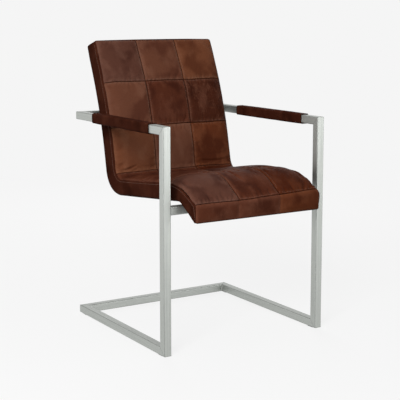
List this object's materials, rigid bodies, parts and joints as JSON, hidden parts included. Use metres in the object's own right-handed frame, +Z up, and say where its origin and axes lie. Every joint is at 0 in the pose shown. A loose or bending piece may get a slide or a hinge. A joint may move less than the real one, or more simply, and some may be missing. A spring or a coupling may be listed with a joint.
{
  "type": "cantilever dining armchair",
  "caption": "Cantilever dining armchair: square brushed steel tube frame with leather arm sleeves and one bent, padded shell in patchwork leather.",
  "frame": {"origin": "on the floor, in the middle of the chair's overall width and depth", "axes": "+Z up, the sitter faces -Y, +X to the sitter's left"},
  "size_m": [0.5834, 0.6942, 0.9078],
  "materials": {
    "steel": "satin brushed",
    "leather_brown": "soft waxed sheen",
    "leather_dark": "soft waxed sheen",
    "leather_worn": "soft waxed sheen",
    "leather_red": "soft waxed sheen",
    "leather_cover": "soft waxed sheen",
    "foam": "open-cell foam",
    "wadding": "white fibre",
    "plywood": "raw",
    "black_plastic": "matte",
    "zinc": "zinc plated",
    "brass": "plain"
  },
  "bodies": {
    "root": {"back_bolts": "zinc", "back_cross_tube": "steel", "back_foam": "foam", "back_inserts": "brass", "back_lower_centre_patch": "leather_brown", "back_lower_left_patch": "leather_dark", "back_lower_right_patch": "leather_red", "back_middle_centre_patch": "leather_red", "back_middle_left_patch": "leather_brown", "back_middle_right_patch": "leather_dark", "back_spacers": "black_plastic", "back_top_centre_patch": "leather_worn", "back_top_left_patch": "leather_worn", "back_top_right_patch": "leather_red", "back_wadding": "wadding", "back_washers": "zinc", "front_edge_centre_patch": "leather_red", "front_edge_left_patch": "leather_brown", "front_edge_right_patch": "leather_dark", "front_left_glide": "black_plastic", "front_right_glide": "black_plastic", "left_arm_sleeve": "leather_cover", "left_arm_tube": "steel", "left_arm_wadding": "wadding", "left_runner": "steel", "left_side_band": "leather_cover", "left_upright": "steel", "plywood_shell": "plywood", "rear_floor_tube": "steel", "rear_left_glide": "black_plastic", "rear_panel": "leather_cover", "rear_right_glide": "black_plastic", "right_arm_sleeve": "leather_cover", "right_arm_tube": "steel", "right_arm_wadding": "wadding", "right_runner": "steel", "right_side_band": "leather_cover", "right_upright": "steel", "seat_bolts": "zinc", "seat_cross_tube": "steel", "seat_foam": "foam", "seat_front_centre_patch": "leather_red", "seat_front_left_patch": "leather_worn", "seat_front_right_patch": "leather_red", "seat_inserts": "brass", "seat_middle_centre_patch": "leather_red", "seat_middle_left_patch": "leather_brown", "seat_middle_right_patch": "leather_dark", "seat_rear_centre_patch": "leather_brown", "seat_rear_left_patch": "leather_dark", "seat_rear_right_patch": "leather_red", "seat_spacers": "black_plastic", "seat_washers": "zinc", "top_band": "leather_cover", "underside_panel": "leather_cover", "underside_wadding": "wadding"}
  },
  "joints": []
}
